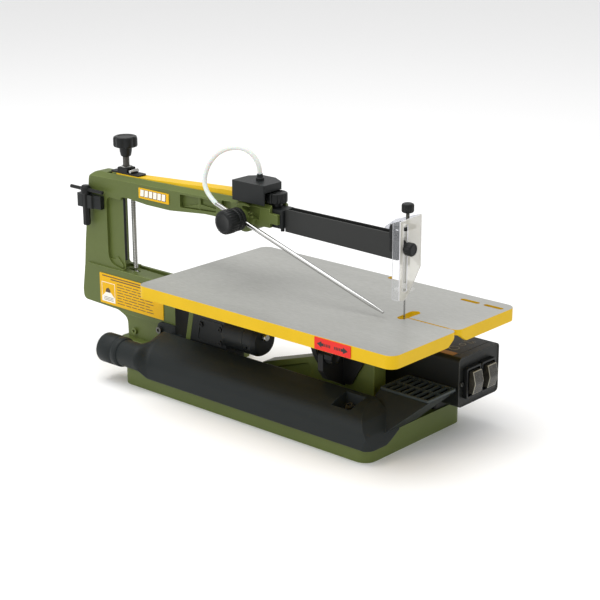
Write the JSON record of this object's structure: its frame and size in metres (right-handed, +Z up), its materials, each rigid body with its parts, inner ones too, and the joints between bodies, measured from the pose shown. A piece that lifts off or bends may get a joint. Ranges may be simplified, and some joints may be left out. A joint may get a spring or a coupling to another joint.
{
  "type": "scroll saw",
  "caption": "Bench scroll saw: C-shaped casting, two parallel rocking arms, thin upright blade, tilting table, clear guard, air nozzle, dust duct and switch box.",
  "frame": {"origin": "middle of the base casting's underside, on the bench", "axes": "+X toward the operator and the switch box, along the arms; +Y to the operator's right, away from the dust duct; +Z up"},
  "size_m": [0.562, 0.2109, 0.2847],
  "materials": {
    "green_casting": "satin lacquer",
    "yellow_beam": "satin lacquer",
    "table_metal": "brushed top, yellow lacquered rim",
    "black_plastic": "fine grain",
    "black_knob": "fine grain",
    "black_metal": "satin",
    "bright_steel": "machined",
    "screw_steel": "blackened and bright",
    "blade_steel": "oiled",
    "chrome": "polished",
    "clear_guard": "clear",
    "hose": "translucent",
    "name_yellow": "printed plate, no lettering",
    "label_yellow": "printed label, no lettering",
    "sign_red": "printed sign with arrows",
    "rocker_clear": "smoky clear cap"
  },
  "bodies": {
    "frame": {"base_casting": "green_casting", "c_frame_casting": "green_casting", "front_pillar": "green_casting", "frame_screws": "screw_steel", "upright_strip": "black_metal", "name_plate": "name_yellow", "instruction_plate": "label_yellow", "guide_channel": "black_metal", "channel_root_block": "black_metal", "pump_housing": "black_plastic", "pump_port": "black_plastic", "upper_pivot_pin": "bright_steel", "lower_pivot_pin": "bright_steel", "lower_pivot_bracket": "black_metal", "gearbox_housing": "black_metal", "motor_bracket": "green_casting", "motor_body": "black_metal", "tilt_bracket": "black_metal", "rear_tilt_post": "black_metal", "tilt_pins": "bright_steel", "front_bracket": "black_metal", "duct_body": "black_plastic", "duct_pipe": "black_plastic", "duct_grille": "black_plastic", "cover_screws": "screw_steel", "control_box": "black_plastic", "switch_bezels": "black_plastic", "cable_gland": "black_plastic", "tool_clip": "black_plastic"},
    "upper_arm": {"upper_arm_beam": "yellow_beam", "upper_arm_pins": "bright_steel", "tension_saddle": "black_metal"},
    "tension_screw": {"tension_knob": "black_knob"},
    "tie_rod": {"tension_rod": "bright_steel"},
    "lower_arm": {"lower_arm_beam": "bright_steel", "lower_arm_pins": "bright_steel", "drive_yoke": "bright_steel"},
    "blade_set": {"saw_blade": "blade_steel", "upper_blade_clamp": "bright_steel", "lower_blade_clamp": "bright_steel", "clamp_screws": "screw_steel"},
    "crank": {"crank_disc": "bright_steel"},
    "table": {"table_casting": "table_metal", "table_trunnions": "black_metal", "arrow_sign": "sign_red"},
    "tilt_lock": {"tilt_lock_knob": "black_knob"},
    "hold_down": {"hold_down_rod": "chrome", "hold_down_foot": "chrome", "blade_guard": "clear_guard"},
    "height_knob": {"top_knob": "black_knob"},
    "guard_screw": {"guard_knob": "black_knob"},
    "channel_screw": {"channel_knob": "black_knob"},
    "nozzle": {"nozzle_tube": "chrome", "nozzle_clamp_ring": "black_knob", "air_hose": "hose"},
    "nozzle_lock": {"nozzle_knob": "black_knob"},
    "hose_collar": {"duct_collar": "black_plastic"},
    "power_switch": {"power_rocker": "rocker_clear"},
    "speed_switch": {"speed_rocker": "rocker_clear"},
    "key": {"hex_key": "black_metal"}
  },
  "joints": [
    {"name": "upper_arm_rock", "type": "hinge", "parent": "frame", "child": "upper_arm", "pos_m": [-0.045, 0, 0.208], "axis": [0, 1, 0], "range_deg": [-2.4, 2.4]},
    {"name": "lower_arm_rock", "type": "hinge", "parent": "frame", "child": "lower_arm", "pos_m": [-0.045, 0, 0.092], "axis": [0, 1, 0], "range_deg": [-2.5, 2.5]},
    {"name": "tie_rod_pivot", "type": "hinge", "parent": "upper_arm", "child": "tie_rod", "pos_m": [-0.244, 0, 0.216], "axis": [0, 1, 0], "range_deg": [-2.5, 2.5]},
    {"name": "blade_pivot", "type": "hinge", "parent": "upper_arm", "child": "blade_set", "pos_m": [0.164, 0, 0.21], "axis": [0, 1, 0], "range_deg": [-2.5, 2.5]},
    {"name": "tension_screw_turn", "type": "hinge", "parent": "upper_arm", "child": "tension_screw", "pos_m": [-0.254, 0, 0.26], "axis": [0, 0, 1], "range_deg": [-180, 180]},
    {"name": "crank_spin", "type": "hinge", "parent": "frame", "child": "crank", "pos_m": [-0.11, 0.019, 0.06], "axis": [0, 1, 0], "continuous": true},
    {"name": "table_tilt", "type": "hinge", "parent": "frame", "child": "table", "pos_m": [0, 0, 0.114], "axis": [1, 0, 0], "range_deg": [-5, 30]},
    {"name": "tilt_lock_turn", "type": "hinge", "parent": "frame", "child": "tilt_lock", "pos_m": [0.1, -0.0433, 0.089], "axis": [1, 0, 0], "range_deg": [-180, 180]},
    {"name": "hold_down_height", "type": "slide", "parent": "frame", "child": "hold_down", "axis": [0, 0, 1], "range_m": [-0.006, 0.01]},
    {"name": "height_knob_turn", "type": "hinge", "parent": "frame", "child": "height_knob", "pos_m": [0.166, 0, 0.25], "axis": [0, 0, 1], "range_deg": [-180, 180]},
    {"name": "guard_screw_turn", "type": "hinge", "parent": "frame", "child": "guard_screw", "pos_m": [0.18, -0.013, 0.212], "axis": [1, 0, 0], "range_deg": [-180, 180]},
    {"name": "channel_screw_turn", "type": "hinge", "parent": "frame", "child": "channel_screw", "pos_m": [-0.0132, 0, 0.23], "axis": [0, 0, 1], "range_deg": [-180, 180]},
    {"name": "nozzle_swing", "type": "hinge", "parent": "frame", "child": "nozzle", "pos_m": [-0.045, -0.03, 0.208], "axis": [0, -1, 0], "range_deg": [0, 13], "deforming": ["air_hose"]},
    {"name": "nozzle_lock_turn", "type": "hinge", "parent": "nozzle", "child": "nozzle_lock", "pos_m": [-0.045, -0.045, 0.208], "axis": [0, -1, 0], "range_deg": [-180, 180]},
    {"name": "hose_collar_turn", "type": "hinge", "parent": "frame", "child": "hose_collar", "pos_m": [-0.195, -0.08, 0.036], "axis": [1, 0, 0], "range_deg": [-180, 180]},
    {"name": "power_switch_rock", "type": "hinge", "parent": "frame", "child": "power_switch", "pos_m": [0.219, 0.0485, 0.063], "axis": [0, 1, 0], "range_deg": [-6, 6]},
    {"name": "speed_switch_rock", "type": "hinge", "parent": "frame", "child": "speed_switch", "pos_m": [0.219, 0.075, 0.063], "axis": [0, 1, 0], "range_deg": [-6, 6]},
    {"name": "key_lift", "type": "slide", "parent": "frame", "child": "key", "axis": [0, 0, 1], "range_m": [0, 0.06]}
  ],
  "couplings": [
    {"joint": "lower_arm_rock", "follows": "upper_arm_rock", "ratio": 1},
    {"joint": "tie_rod_pivot", "follows": "upper_arm_rock", "ratio": -1},
    {"joint": "blade_pivot", "follows": "upper_arm_rock", "ratio": -1}
  ]
}
